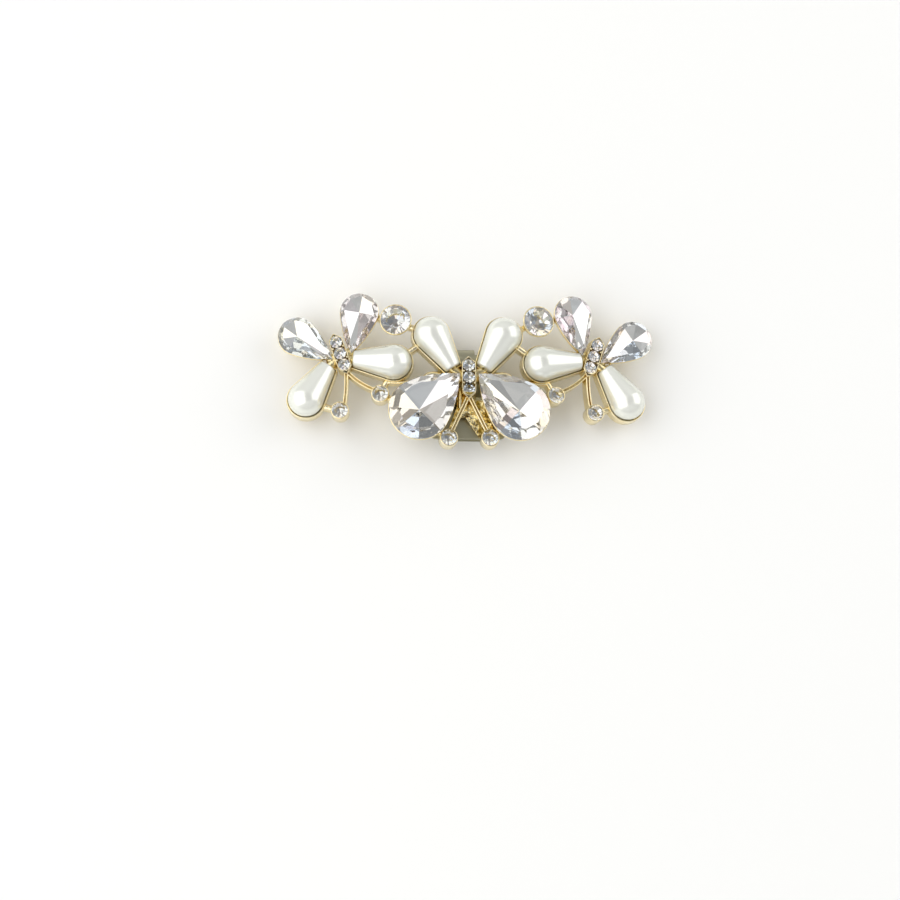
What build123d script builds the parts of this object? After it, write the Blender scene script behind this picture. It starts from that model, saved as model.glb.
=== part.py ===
from build123d import *
from collections import namedtuple
from math import acos, atan2, cos, degrees, pi, radians, sin, sqrt
import os

# Shoe clip: three cast butterflies of pearls and foiled glass on a folded spring clip.
# Millimetres and degrees. X runs along the row, Y towards the heel, Z out of the face.
# The origin is on the surface that the clip's jaw lies on, under the middle butterfly.
# The right half is modelled and mirrored; headings count from +X towards +Y.

# Stones and pearls
big_pear_length = 14.0
big_pear_width = 10.0
big_pear_flank = 19.0
big_pear_crown = 1.7
big_pear_pavilion = 2.6
small_pear_length = 9.9
small_pear_width = 6.1
small_pear_flank = 17.0
small_pear_crown = 1.2
small_pear_pavilion = 1.8
round_diameter = 4.9
round_crown = 1.0
round_pavilion = 1.8
tip_diameter = 2.5
tip_crown = 0.6
tip_pavilion = 1.2
body_stone_diameter = 2.0
body_stone_crown = 0.42
body_stone_pavilion = 0.8
body_stone_pitch = 2.08
body_stone_count = 3
girdle_thickness = 0.16
pearl_length = 10.0
pearl_width = 6.1
pearl_end_width = 2.8
pearl_end_round = 0.4
pearl_seat_depth = 1.9
pearl_rim_below_axis = 0.35
drill_diameter = 0.8
drill_depth = 0.7

# Cast frame
stone_clearance = 0.05
cup_wall = 0.26
cup_draft = 0.28
cup_floor = 0.5
tip_cup_floor = 1.2
rim_above_girdle = 0.14
body_length = 7.7
body_width = 2.44
body_end_width = 2.3
body_cap_length = 1.25
body_height = 3.5
body_rim = 0.14
body_recess = 0.3
antenna_width = 0.72
antenna_height = 2.5
antenna_groove_width = 0.26
antenna_groove_depth = 0.25
bar_width = 1.1
bar_height = 1.7
rail_width = 0.6
root_width = 1.9
root_height = 2.0
root_overlap = 1.2

# Places of the settings
root_gap = 1.0
pearl_gap = 1.15
pearl_to_pear_gap = 0.65
tip_gap = 0.05
round_rise = 0.6
crossbar_gap = 2.1
crossbar_elbow_heading = 100.0
rail_end_heading = 78.0
body_drop = 0.3
side_body_heading = 71.5
centre_tip_heading = 223.0
inner_tip_heading = 26.0
outer_tip_heading = -77.0
outer_antenna_length = 6.3
outer_antenna_offset = 0.6
outer_antenna_bow = 0.15
inner_antenna_bow = -0.35
antenna_root = 0.7
side_bend = 8.0

# Spring clip
strip_thickness = 0.6
clip_depth = 4.8
solder_gap = 0.05
plate_width = 13.0
plate_front = 10.3
plate_back = 1.5
plate_corner = 1.0
strap_width = 3.0
strap_slot_width = 1.7
strap_slot_front = 4.2
strap_slot_corner = 0.55
fold_reach = 5.9
ear_width = 0.8
ear_length = 0.8
ear_depth = 1.0
ear_setback = 1.0
jaw_width = 10.0
jaw_front = 9.6
jaw_flat_front = 2.0
jaw_bump_front = 5.4
jaw_bump_rise = 1.7
jaw_lip = 1.0
jaw_bend_radius = 1.0
jaw_corner = 1.2

# Shares of a brilliant cut: the table and the corners between table and girdle
table_share = 0.56
crown_corner_share = 0.8
pavilion_corner_share = 0.5
pear_crown_count = 12
big_pear_pavilion_count = 8
small_pear_pavilion_count = 6
round_main_count = 8

Wing = namedtuple("Wing", "along_share gap_share heading")
Setting = namedtuple("Setting", "name stone pocket cup")

# Wing roots: share of half the body along its axis, share of the root gap beside it, heading
centre_pearl_wing = Wing(0.38, 1.32, 58.0)
big_pear_wing = Wing(0.0, 0.68, -42.0)
inner_pearl_wing = Wing(-0.46, 0.58, 186.0)
inner_pear_wing = Wing(-0.07, 0.86, 101.5)
outer_pear_wing = Wing(-0.07, 0.61, 35.5)
outer_pearl_wing = Wing(-0.40, 1.27, -55.0)

big_pear_radius = big_pear_width / 2
small_pear_radius = small_pear_width / 2
pearl_radius = pearl_width / 2
round_radius = round_diameter / 2
tip_radius = tip_diameter / 2
body_stone_radius = body_stone_diameter / 2
cup_margin = stone_clearance + cup_wall
frame_back = clip_depth + solder_gap
origin = Vector(0, 0)


def beyond(point, heading, distance):
    """The point that lies a distance away along a heading."""
    return point + Vector(distance, 0).rotate(Axis.Z, heading)


def heading_of(start, end):
    """The heading from one point to another."""
    return degrees(atan2(end.Y - start.Y, end.X - start.X))


def root_of(wing, body_centre, body_heading, side):
    """Where a wing starts beside its body: side is 1 outwards and -1 inwards."""
    along = beyond(body_centre, body_heading, wing.along_share * body_length / 2)
    return beyond(along, body_heading - 90, side * (body_width / 2 + wing.gap_share * root_gap))


def meeting_point(first, first_reach, second, second_reach):
    """The point at both reaches from two centres, on the left of the way between them."""
    span = (second - first).length
    along = (first_reach**2 - second_reach**2 + span**2) / (2 * span)
    aside = sqrt(first_reach**2 - along**2)
    heading = heading_of(first, second)
    return beyond(beyond(first, heading, along), heading + 90, aside)


# Layout of the right half, seen flat from the front: each wing is placed by the centre of its round end
centre_pearl_root = root_of(centre_pearl_wing, origin, 90, 1)
centre_pearl = beyond(centre_pearl_root, centre_pearl_wing.heading, pearl_length - pearl_radius)
big_pear_root = root_of(big_pear_wing, origin, 90, 1)
big_pear = beyond(big_pear_root, big_pear_wing.heading, big_pear_length - big_pear_radius)
inner_pearl = meeting_point(
    centre_pearl,
    2 * pearl_radius + 2 * cup_margin + pearl_gap,
    big_pear,
    big_pear_radius + pearl_radius + 2 * cup_margin + pearl_to_pear_gap,
)
inner_pearl_root = beyond(inner_pearl, inner_pearl_wing.heading + 180, pearl_length - pearl_radius)
side_body = inner_pearl_root - root_of(inner_pearl_wing, origin, side_body_heading, -1)
inner_pear_root = root_of(inner_pear_wing, side_body, side_body_heading, -1)
inner_pear = beyond(inner_pear_root, inner_pear_wing.heading, small_pear_length - small_pear_radius)
outer_pear_root = root_of(outer_pear_wing, side_body, side_body_heading, 1)
outer_pear = beyond(outer_pear_root, outer_pear_wing.heading, small_pear_length - small_pear_radius)
outer_pearl_root = root_of(outer_pearl_wing, side_body, side_body_heading, 1)
outer_pearl = beyond(outer_pearl_root, outer_pearl_wing.heading, pearl_length - pearl_radius)
side_block_centre = beyond(side_body, side_body_heading + 180, body_drop)
centre_block_centre = beyond(origin, -90, body_drop)
side_body_foot = beyond(side_block_centre, side_body_heading + 180, body_length / 2)
centre_body_foot = beyond(centre_block_centre, -90, body_length / 2)
tip_reach = big_pear_radius + tip_radius + 2 * cup_margin + tip_gap
centre_tip = beyond(big_pear, centre_tip_heading, tip_reach)
inner_tip = beyond(big_pear, inner_tip_heading, tip_reach)
outer_tip = beyond(side_body_foot, outer_tip_heading, outer_antenna_length)
outer_antenna_end = beyond(outer_tip, outer_tip_heading - 90, outer_antenna_offset)
crossbar_elbow = beyond(big_pear, crossbar_elbow_heading, big_pear_radius + crossbar_gap)
rail_reach = pearl_radius + cup_margin + rail_width / 2
rail_start = beyond(inner_pearl, heading_of(inner_pearl, inner_tip), rail_reach)
rail_end = beyond(big_pear, rail_end_heading, big_pear_radius)
round_span = (inner_pear - centre_pearl).length
round_heading = heading_of(centre_pearl, inner_pear)
round_along = (round_span + pearl_radius - small_pear_radius) / 2
round_stone = beyond(beyond(centre_pearl, round_heading, round_along), round_heading + 90, round_rise)

# Heights above the back of the frame
big_cup_height = cup_floor + stone_clearance + big_pear_pavilion + girdle_thickness + rim_above_girdle
pear_cup_height = cup_floor + stone_clearance + small_pear_pavilion + girdle_thickness + rim_above_girdle
round_cup_height = cup_floor + stone_clearance + round_pavilion + girdle_thickness + rim_above_girdle
tip_cup_height = tip_cup_floor + stone_clearance + tip_pavilion + girdle_thickness + rim_above_girdle
pearl_cup_height = cup_floor + stone_clearance + pearl_seat_depth - pearl_rim_below_axis
above_all = 2 * (big_cup_height + big_pear_crown + pearl_radius)

# The middle butterfly lies flat, and each side one is bent back about a line beside the middle pearls
bend_line = centre_pearl.X + pearl_radius + cup_margin + pearl_gap / 2
flat = Pos(0, 0, frame_back)
bent = Pos(bend_line, 0, frame_back) * Rot(0, side_bend, 0) * Pos(-bend_line, 0, 0)


def flank_tangent(length, radius, flank):
    """Angle at which a pear's flank arc leaves its round end, seen from the round end's centre."""
    tip = length - radius
    return acos((2 * flank * radius - radius**2 - tip**2) / (2 * tip * (flank - radius)))


def pear_reach(length, width, flank):
    """A function for the distance from a pear's round end to its edge, by the angle from its tip."""
    radius = width / 2
    tangent = flank_tangent(length, radius, flank)

    def reach(angle):
        turn = abs((angle + pi) % (2 * pi) - pi)
        if turn >= tangent:
            return radius
        centre_distance = flank - radius
        along = -centre_distance * cos(turn - tangent)
        return along + sqrt(along**2 + flank**2 - centre_distance**2)

    return reach


def pear_outline(length, width, flank):
    """A function for a pear's face, grown outwards, round its round end's centre and with its tip on +X."""
    radius = width / 2
    tangent = flank_tangent(length, radius, flank)
    flank_centre = Vector(-(flank - radius) * cos(tangent), -(flank - radius) * sin(tangent))

    def outline(grow):
        upper = Vector((radius + grow) * cos(tangent), (radius + grow) * sin(tangent))
        lower = Vector(upper.X, -upper.Y)
        tip = Vector(flank_centre.X + sqrt((flank + grow) ** 2 - flank_centre.Y**2), 0)
        half = (atan2(upper.Y - flank_centre.Y, upper.X - flank_centre.X)
                + atan2(-flank_centre.Y, tip.X - flank_centre.X)) / 2
        upper_middle = flank_centre + Vector((flank + grow) * cos(half), (flank + grow) * sin(half))
        lower_middle = Vector(upper_middle.X, -upper_middle.Y)
        return make_face([
            ThreePointArc(tip, upper_middle, upper),
            ThreePointArc(upper, Vector(-radius - grow, 0), lower),
            ThreePointArc(lower, lower_middle, tip),
        ])

    return outline


def round_outline(radius):
    """A function for a round face, grown outwards."""
    return lambda grow: Circle(radius + grow)


def pearl_corners(grow):
    """End corner of a pearl drop's edge and the point where its flank touches the round end."""
    end = Vector(pearl_length - pearl_radius + grow, pearl_end_width / 2 + grow)
    radius = pearl_radius + grow
    tangent = atan2(end.Y, end.X) + acos(radius / end.length)
    return end, Vector(radius * cos(tangent), radius * sin(tangent))


def pearl_outline(grow):
    """A pearl drop's face, grown outwards, with its round end's centre at the origin and flat end on +X."""
    end, touch = pearl_corners(grow)
    lower_end = Vector(end.X, -end.Y)
    lower_touch = Vector(touch.X, -touch.Y)
    return make_face([
        Line(end, touch),
        ThreePointArc(touch, Vector(-pearl_radius - grow, 0), lower_touch),
        Line(lower_touch, lower_end),
        Line(lower_end, end),
    ])


def ring(reach, share, count, first, height):
    """Points around a stone at a share of its reach, the first one a step or half a step from the tip."""
    angles = [2 * pi * (index + first) / count for index in range(count)]
    return [Vector(share * reach(a) * cos(a), share * reach(a) * sin(a), height) for a in angles]


def half_facets(inner, corners, edge):
    """Triangles of one side of a stone between its inner ring, its corners and its girdle edge."""
    facets = []
    step = len(edge) // len(corners)
    for index, corner in enumerate(corners):
        after = (index + 1) % len(corners)
        span = [edge[(step * index + part) % len(edge)] for part in range(step + 1)]
        facets.append([inner[index], span[0], corner])
        facets.append([inner[after], corner, span[-1]])
        for near, far in zip(span[:-1], span[1:]):
            facets.append([corner, near, far])
        if inner[index] != inner[after]:
            facets.append([inner[index], corner, inner[after]])
    return facets


def cut_stone(reach, crown_count, pavilion_count, crown, pavilion):
    """A faceted stone with a table, its girdle's middle at height 0 and its culet below the origin."""
    edge = girdle_thickness / 2
    crown_lean = cos(pi / crown_count)
    pavilion_lean = cos(pi / pavilion_count)
    crown_corner = crown * (1 - crown_corner_share * crown_lean) / (1 - table_share)
    pavilion_corner = pavilion * (1 - pavilion_corner_share * pavilion_lean)
    table = ring(reach, table_share, crown_count, 0, edge + crown)
    crown_corners = ring(reach, crown_corner_share, crown_count, 0.5, edge + crown_corner)
    upper = ring(reach, 1, 2 * crown_count, 0, edge)
    lower = ring(reach, 1, 2 * crown_count, 0, -edge)
    pavilion_corners = ring(reach, pavilion_corner_share, pavilion_count, 0.5, -edge - pavilion_corner)
    culet = [Vector(0, 0, -edge - pavilion)] * pavilion_count
    facets = [table]
    facets += half_facets(table, crown_corners, upper)
    facets += half_facets(culet, pavilion_corners, lower)
    for index in range(2 * crown_count):
        after = (index + 1) % (2 * crown_count)
        facets.append([upper[index], upper[after], lower[after], lower[index]])
    return Solid(Shell([Face(Wire.make_polygon(points, close=True)) for points in facets]))


def pearl_drop():
    """A pearl drop turned about its axis at height 0, flat below and drilled from its narrow end."""
    end, touch = pearl_corners(0)
    slope = (touch - end).normalized()
    flank_start = end + slope * pearl_end_round
    end_start = Vector(end.X, end.Y - pearl_end_round)
    profile = make_face([
        Line(Vector(-pearl_radius, 0), Vector(end.X, 0)),
        Line(Vector(end.X, 0), end_start),
        Line(end_start, flank_start),
        Line(flank_start, touch),
        ThreePointArc(touch, Vector(-pearl_radius * cos(pi / 4), pearl_radius * sin(pi / 4)),
                      Vector(-pearl_radius, 0)),
    ])
    drop = revolve(profile, Axis.X)
    block = 2 * pearl_length
    below = Pos(0, 0, -pearl_seat_depth - block / 2) * Box(2 * block, 2 * block, block)
    drill = Pos(end.X, 0, 0) * Rot(0, 90, 0) * Cylinder(drill_diameter / 2, 2 * drill_depth)
    return drop - below - drill


def leaning(outline, grow, bottom, waist, top):
    """An upright form whose wall leans in from its waist down to its foot."""
    foot = Pos(0, 0, bottom) * outline(grow - cup_draft * (waist - bottom))
    edge = Pos(0, 0, waist) * outline(grow)
    return loft([foot, edge], ruled=True) + extrude(edge, top - waist)


def setting(name, stone, outline, plane, centre, heading, cup_height, sunk, floor=cup_floor):
    """A stone with the pocket that it lies in and the upright cup around it."""
    place = plane * Pos(centre.X, centre.Y, 0) * Rot(0, 0, heading)
    cup = place * extrude(outline(cup_margin), cup_height)
    pocket = place * Pos(0, 0, floor) * extrude(outline(stone_clearance), above_all)
    return Setting(name, place * Pos(0, 0, cup_height - sunk) * stone, pocket, cup)


def leaning_setting(name, stone, outline, plane, centre, heading, cup_height):
    """A pointed stone with its pocket and cup, whose walls lean in under its girdle."""
    place = plane * Pos(centre.X, centre.Y, 0) * Rot(0, 0, heading)
    waist = cup_height - rim_above_girdle - girdle_thickness - stone_clearance
    cup = place * leaning(outline, cup_margin, 0, waist, cup_height)
    pocket = place * leaning(outline, stone_clearance, cup_floor, waist, above_all)
    return Setting(name, place * Pos(0, 0, cup_height - girdle_sunk) * stone, pocket, cup)


def bar(plane, start, end, width, height, bow=0):
    """A bar on the frame's back, straight or bowed to the right of its way."""
    middle = beyond((start + end) / 2, heading_of(start, end) - 90, bow)
    path = ThreePointArc(start, middle, end) if bow else Line(start, end)
    return plane * extrude(trace(path, width), height)


def antenna(plane, start, end, bow=0):
    """An antenna rod with a groove along its top."""
    rod = bar(plane, start, end, antenna_width, antenna_height, bow)
    groove_bottom = plane * Pos(0, 0, antenna_height - antenna_groove_depth)
    return rod - bar(groove_bottom, start, end, antenna_groove_width, antenna_height, bow)


def body(plane, centre, heading):
    """A butterfly's body: a block with pointed caps, the cuts for its recess and stones, and the stones."""
    cap = body_length / 2 - body_cap_length
    tip = Vector(body_length / 2, 0)
    upper_start = Vector(cap, body_end_width / 2)
    upper_end = Vector(-cap, body_end_width / 2)
    lower_start = Vector(cap, -body_end_width / 2)
    lower_end = Vector(-cap, -body_end_width / 2)
    outline = make_face([
        Line(tip, upper_start),
        ThreePointArc(upper_start, Vector(0, body_width / 2), upper_end),
        Line(upper_end, -tip),
        Line(-tip, lower_end),
        ThreePointArc(lower_end, Vector(0, -body_width / 2), lower_start),
        Line(lower_start, tip),
    ])
    inset = Vector(0, body_rim)
    tray = make_face([
        ThreePointArc(upper_start - inset, Vector(0, body_width / 2) - inset, upper_end - inset),
        Line(upper_end - inset, lower_end + inset),
        ThreePointArc(lower_end + inset, inset - Vector(0, body_width / 2), lower_start + inset),
        Line(lower_start + inset, upper_start - inset),
    ])
    place = plane * Pos(centre.X, centre.Y, 0) * Rot(0, 0, heading)
    tray_floor = body_height - body_recess
    block = place * extrude(outline, body_height)
    cuts = [place * Pos(0, 0, tray_floor) * extrude(tray, above_all)]
    stones = []
    seat_depth = body_stone_pavilion + girdle_thickness + stone_clearance
    seat = extrude(Circle(body_stone_radius + stone_clearance), above_all)
    for index in range(body_stone_count):
        from_top = (body_stone_count - 1) / 2 - index
        spot = place * Pos(from_top * body_stone_pitch, 0, tray_floor)
        cuts.append(spot * Pos(0, 0, -seat_depth) * seat)
        stones.append(spot * body_stone)
    return block, cuts, stones


def mirrored(shapes):
    """The same shapes on the left side."""
    return [mirror(shape, about=Plane.YZ) for shape in shapes]


# Stones, each made once
big_pear_reach = pear_reach(big_pear_length, big_pear_width, big_pear_flank)
small_pear_reach = pear_reach(small_pear_length, small_pear_width, small_pear_flank)
big_pear_stone = cut_stone(
    big_pear_reach, pear_crown_count, big_pear_pavilion_count, big_pear_crown, big_pear_pavilion)
small_pear_stone = cut_stone(
    small_pear_reach, pear_crown_count, small_pear_pavilion_count, small_pear_crown, small_pear_pavilion)


def round_brilliant(radius, crown, pavilion):
    """A round faceted stone."""
    return cut_stone(lambda angle: radius, round_main_count, round_main_count, crown, pavilion)


round_cut = round_brilliant(round_radius, round_crown, round_pavilion)
tip_stone = round_brilliant(tip_radius, tip_crown, tip_pavilion)
body_stone = round_brilliant(body_stone_radius, body_stone_crown, body_stone_pavilion)
pearl = pearl_drop()

# Settings of the right half
big_outline = pear_outline(big_pear_length, big_pear_width, big_pear_flank)
small_outline = pear_outline(small_pear_length, small_pear_width, small_pear_flank)
girdle_sunk = rim_above_girdle + girdle_thickness / 2


def pearl_setting(name, plane, centre, wing):
    """A pearl drop in its cup, with its narrow end towards the body."""
    return setting(name, pearl, pearl_outline, plane, centre, wing.heading + 180, pearl_cup_height,
                   -pearl_rim_below_axis)


def pear_setting(name, centre, wing):
    """A small pear stone in its cup, with its tip towards the body."""
    return leaning_setting(name, small_pear_stone, small_outline, bent, centre, wing.heading + 180,
                           pear_cup_height)


def tip_setting(name, plane, centre):
    """A small round stone at the end of an antenna."""
    return setting(name, tip_stone, round_outline(tip_radius), plane, centre, 0, tip_cup_height,
                   girdle_sunk, tip_cup_floor)


settings = [
    pearl_setting("centre_pearl", flat, centre_pearl, centre_pearl_wing),
    leaning_setting("big_pear", big_pear_stone, big_outline, flat, big_pear, big_pear_wing.heading + 180,
                    big_cup_height),
    tip_setting("centre_tip", flat, centre_tip),
    leaning_setting("round_stone", round_cut, round_outline(round_radius), bent, round_stone, 0,
                    round_cup_height),
    pearl_setting("inner_pearl", bent, inner_pearl, inner_pearl_wing),
    pearl_setting("outer_pearl", bent, outer_pearl, outer_pearl_wing),
    pear_setting("inner_pear", inner_pear, inner_pear_wing),
    pear_setting("outer_pear", outer_pear, outer_pear_wing),
    tip_setting("inner_tip", bent, inner_tip),
    tip_setting("outer_tip", bent, outer_tip),
]

# Bars between the cups, and roots from each body into its wings
bars = [
    (bent, centre_pearl, inner_pearl),
    (bent, centre_pearl, round_stone),
    (bent, round_stone, inner_pear),
    (bent, inner_pearl, inner_tip),
    (bent, inner_tip, big_pear),
    (bent, outer_tip, outer_pearl),
    (flat, centre_tip, big_pear),
    (flat, centre_block_centre, crossbar_elbow),
    (flat, crossbar_elbow, big_pear),
]
wing_roots = [
    (flat, origin, centre_pearl_root, centre_pearl_wing),
    (flat, origin, big_pear_root, big_pear_wing),
    (bent, side_body, inner_pearl_root, inner_pearl_wing),
    (bent, side_body, inner_pear_root, inner_pear_wing),
    (bent, side_body, outer_pear_root, outer_pear_wing),
    (bent, side_body, outer_pearl_root, outer_pearl_wing),
]
links = [bar(plane, start, end, bar_width, bar_height) for plane, start, end in bars]
links.append(bar(bent, rail_start, rail_end, rail_width, bar_height))
roots = []
for plane, centre, root, wing in wing_roots:
    roots.append(bar(plane, centre, beyond(root, wing.heading, root_overlap), root_width, root_height))
centre_antenna_start = beyond(centre_body_foot, 90, antenna_root)
side_antenna_start = beyond(side_body_foot, side_body_heading, antenna_root)
antennae = [
    antenna(flat, centre_antenna_start, centre_tip),
    antenna(bent, side_antenna_start, inner_tip, inner_antenna_bow),
    antenna(bent, side_antenna_start, outer_antenna_end, outer_antenna_bow),
]
side_block, side_cuts, side_stones = body(bent, side_block_centre, side_body_heading)
centre_block, centre_cuts, centre_stones = body(flat, centre_block_centre, 90)

# The cast frame, cut for every stone
right_solids = [item.cup for item in settings] + links + roots + antennae + [side_block]
right_cuts = [item.pocket for item in settings] + side_cuts
gold_frame = Part() + (right_solids + mirrored(right_solids) + [centre_block])
gold_frame = gold_frame - (right_cuts + mirrored(right_cuts) + centre_cuts)


def strip_plan(width, back, front, corner):
    """A rounded plate seen from above, from its back edge to its front edge."""
    return Pos(0, (back - front) / 2) * RectangleRounded(width, back + front, corner)


def spring_clip():
    """The folded strip: plate and strap above, fold at the back, ears, and the sprung jaw below."""
    fold_radius = clip_depth / 2
    fold_centre = fold_reach - fold_radius
    under_plate = clip_depth - strip_thickness
    slot_length = strap_slot_front + 2 * plate_back
    slot_place = Pos((strap_width + strap_slot_width) / 2, slot_length / 2 - strap_slot_front)
    slot = slot_place * RectangleRounded(strap_slot_width, slot_length, strap_slot_corner)
    plan = strip_plan(plate_width, plate_back, plate_front, plate_corner)
    plan = plan - slot - mirror(slot, about=Plane.YZ)
    strap_length = fold_centre + strap_slot_front
    strap = Pos(0, strap_length / 2 - strap_slot_front) * Rectangle(strap_width, strap_length)
    plate = Pos(0, 0, under_plate) * extrude(plan + strap, strip_thickness)
    bend = Circle(fold_radius) - Circle(fold_radius - strip_thickness)
    bend = bend & Pos(fold_radius, 0) * Rectangle(2 * fold_radius, 2 * fold_radius)
    fold = Plane.YZ * Pos(fold_centre, fold_radius) * bend
    fold = extrude(fold, strap_width / 2, both=True)
    middle = strip_thickness / 2
    path = FilletPolyline(
        (fold_centre, middle),
        (-jaw_flat_front, middle),
        (-jaw_bump_front, middle + jaw_bump_rise),
        (jaw_lip - jaw_front, middle),
        (-jaw_front, middle),
        radius=jaw_bend_radius,
    )
    strip = extrude(Plane.YZ * trace(path, strip_thickness), jaw_width / 2, both=True)
    jaw_plan = strip_plan(jaw_width, plate_back, jaw_front, jaw_corner)
    neck = Pos(0, fold_centre / 2) * Rectangle(strap_width, fold_centre)
    jaw = strip & extrude(jaw_plan + neck, under_plate)
    ear = Pos(
        (strap_width + ear_width) / 2,
        fold_centre + ear_setback - ear_length / 2,
        clip_depth - ear_depth / 2,
    ) * Box(ear_width, ear_length, ear_depth)
    return plate + fold + jaw + ear + mirror(ear, about=Plane.YZ)


shoe_clip = spring_clip()

os.makedirs("parts", exist_ok=True)
export_step(gold_frame, "parts/gold_frame.step")
export_step(shoe_clip, "parts/shoe_clip.step")
for item in settings:
    export_step(item.stone, f"parts/{item.name}_right.step")
    export_step(mirror(item.stone, about=Plane.YZ), f"parts/{item.name}_left.step")
body_rows = [("centre", centre_stones), ("right", side_stones), ("left", mirrored(side_stones))]
for side, stones in body_rows:
    for index, stone in enumerate(stones, start=1):
        export_step(stone, f"parts/body_stone_{side}_{index}.step")
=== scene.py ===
# %% [markdown]
# Shoe clip with three butterflies, dressed for a studio picture
#
# The clip lies on a table with its jewelled face up. Its solids come packed, in metres, with +X along
# the row, +Y towards the heel and +Z out of the face. This lesson reads where each stone and pearl
# lies from those solids, and then makes what a caster, a stone setter and a plater would add:
# rounded rims, turned pearls, foil behind the glass, and surfaces that answer the light.

# %% Load the solids
from collections import namedtuple
from math import acos, atan2, ceil, cos, degrees, hypot, pi, radians, sin

import bmesh
import bpy
import numpy as np
from mathutils import Matrix, Vector


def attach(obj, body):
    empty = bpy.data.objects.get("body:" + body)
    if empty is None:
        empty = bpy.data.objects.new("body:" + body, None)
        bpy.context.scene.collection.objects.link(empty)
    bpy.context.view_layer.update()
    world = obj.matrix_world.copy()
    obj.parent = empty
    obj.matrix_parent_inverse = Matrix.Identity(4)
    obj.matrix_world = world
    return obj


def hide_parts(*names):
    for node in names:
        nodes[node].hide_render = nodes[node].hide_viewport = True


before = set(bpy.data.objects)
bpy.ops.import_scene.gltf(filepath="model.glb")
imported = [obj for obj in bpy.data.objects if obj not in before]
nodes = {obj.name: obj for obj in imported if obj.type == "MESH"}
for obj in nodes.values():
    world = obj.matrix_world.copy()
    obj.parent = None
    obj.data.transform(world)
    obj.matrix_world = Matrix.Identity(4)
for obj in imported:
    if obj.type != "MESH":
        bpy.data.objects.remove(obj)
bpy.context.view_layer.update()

MM = 0.001

# %% [markdown]
# The picture comes first
#
# A catalogue picture of a small jewel is taken from far away with a long lens, so that near and far
# stones keep their size. The camera looks down at the face, a little from the toe and a little from
# the left. It aims below the clip, because the picture leaves more room there.

# %% Camera
CAMERA_FROM_TOE = radians(14.0)
CAMERA_FROM_LEFT = radians(6.5)
CAMERA_ROLL = radians(0.54)
CAMERA_DISTANCE = 0.7
PICTURE_PIXELS = 900
PIXEL_SIZE = 0.1719 * MM
ORIGIN_PIXEL = (463.6, 387.4)
SENSOR = 36.0
NEAREST_SEEN = 0.01

back = Vector((
    -sin(CAMERA_FROM_LEFT),
    -sin(CAMERA_FROM_TOE) * cos(CAMERA_FROM_LEFT),
    cos(CAMERA_FROM_TOE) * cos(CAMERA_FROM_LEFT),
)).normalized()
level_right = (Vector((1, 0, 0)) - back * back.x).normalized()
level_up = back.cross(level_right)
right = cos(CAMERA_ROLL) * level_right + sin(CAMERA_ROLL) * level_up
up = back.cross(right)
middle = PICTURE_PIXELS / 2
aim = right * ((middle - ORIGIN_PIXEL[0]) * PIXEL_SIZE) + up * ((ORIGIN_PIXEL[1] - middle) * PIXEL_SIZE)

camera_data = bpy.data.cameras.new("camera")
camera_data.sensor_width = SENSOR
camera_data.lens = SENSOR * CAMERA_DISTANCE / (PICTURE_PIXELS * PIXEL_SIZE)
camera_data.clip_start = NEAREST_SEEN
camera = bpy.data.objects.new("camera", camera_data)
camera.matrix_world = Matrix.Translation(aim + back * CAMERA_DISTANCE) @ Matrix(
    (right, up, back)).transposed().to_4x4()
bpy.context.scene.collection.objects.link(camera)
bpy.context.scene.camera = camera
print("lens", round(camera_data.lens, 1), "mm, elevation", round(degrees(np.arcsin(back.z)), 1))

# %% [markdown]
# Helpers for finishes
#
# Colours are picked from paint cards and photographs as sRGB hex values, while the renderer adds
# light in linear values. Each finish below is a small tree of nodes, and one function adds a node
# with its settings and its links. Nearly every finish takes noise and changes its range, and all end
# in the same shader, so short functions add those. A mix node's sockets are told by number, because
# its colours share their names with others.

# %% Colours and nodes
MIX_FACTOR, MIX_A, MIX_B, MIX_RESULT = 0, 6, 7, 2


def linear(hex_colour):
    """An sRGB hex colour as the linear colour that a shader needs."""
    parts = [int(hex_colour[i:i + 2], 16) / 255 for i in (1, 3, 5)]
    return tuple(c / 12.92 if c <= 0.04045 else ((c + 0.055) / 1.055) ** 2.4 for c in parts) + (1.0,)


def add_node(tree, kind, settings=None, links=None):
    """A node with its properties and sockets set, and its inputs linked."""
    node = tree.nodes.new(kind)
    for key, value in (settings or {}).items():
        if isinstance(key, str) and hasattr(node, key):
            setattr(node, key, value)
        else:
            node.inputs[key].default_value = value
    for key, source in (links or {}).items():
        tree.links.new(source, node.inputs[key])
    return node


def new_finish(name):
    """An empty node material with its tree, and its points in object space."""
    material = bpy.data.materials.new(name)
    material.use_nodes = True
    tree = material.node_tree
    tree.nodes.clear()
    place = add_node(tree, "ShaderNodeTexCoord").outputs["Object"]
    return material, tree, place


def noise(tree, place, scale, detail=2.0):
    """Soft noise between 0 and 1."""
    settings = {"Scale": scale, "Detail": detail}
    return add_node(tree, "ShaderNodeTexNoise", settings, {"Vector": place}).outputs["Fac"]


def remap(tree, value, start=(0.0, 1.0), end=(0.0, 1.0)):
    """A value carried from one range to another, and held at its ends."""
    settings = {"From Min": start[0], "From Max": start[1], "To Min": end[0], "To Max": end[1]}
    return add_node(tree, "ShaderNodeMapRange", settings, {"Value": value}).outputs["Result"]


def cover(tree, settings, links):
    """The shader that ends a finish, with its settings and its links."""
    shader = add_node(tree, "ShaderNodeBsdfPrincipled", settings, links)
    add_node(tree, "ShaderNodeOutputMaterial", {}, {"Surface": shader.outputs["BSDF"]})


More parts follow.
